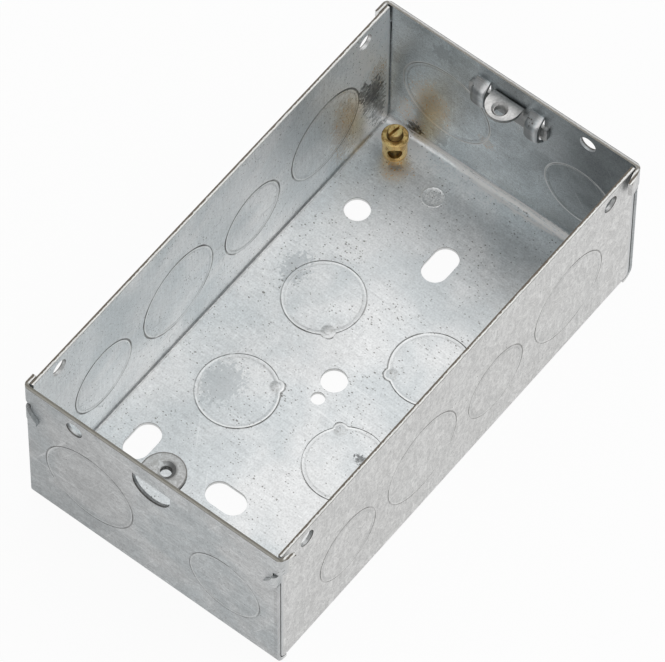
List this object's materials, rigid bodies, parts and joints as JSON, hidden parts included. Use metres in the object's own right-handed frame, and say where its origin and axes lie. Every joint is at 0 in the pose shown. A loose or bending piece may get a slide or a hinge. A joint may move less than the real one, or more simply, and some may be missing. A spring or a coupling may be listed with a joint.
{
  "type": "metal back box",
  "caption": "Open rectangular back box folded from galvanised sheet, with knock-outs, tapped lugs for a front plate and a brass earth terminal.",
  "frame": {"origin": "middle of the back, on the outer face of the floor", "axes": "+Z out of the open side; +X along the length towards the end wall with the sliding lug; +Y across the width towards the side wall beside the earth terminal"},
  "size_m": [0.1332, 0.0743, 0.047],
  "materials": {
    "galvanised_sheet": "hot-dip galvanised, dull and lightly scratched",
    "plated_strip": "zinc plated",
    "terminal_brass": "turned, slightly tarnished",
    "screw_brass": "turned, slightly tarnished"
  },
  "bodies": {
    "box": {"shell": "galvanised_sheet", "earth_terminal": "terminal_brass"},
    "lug": {"adjustable_lug": "plated_strip"},
    "clamp_screw": {"terminal_screw": "screw_brass"}
  },
  "joints": [
    {"name": "lug_slide", "type": "slide", "parent": "box", "child": "lug", "axis": [0, 1, 0], "range_m": [-0.0014, 0.0014]},
    {"name": "clamp_travel", "type": "slide", "parent": "box", "child": "clamp_screw", "axis": [0, 0, 1], "range_m": [-0.0021, 0.001]}
  ]
}
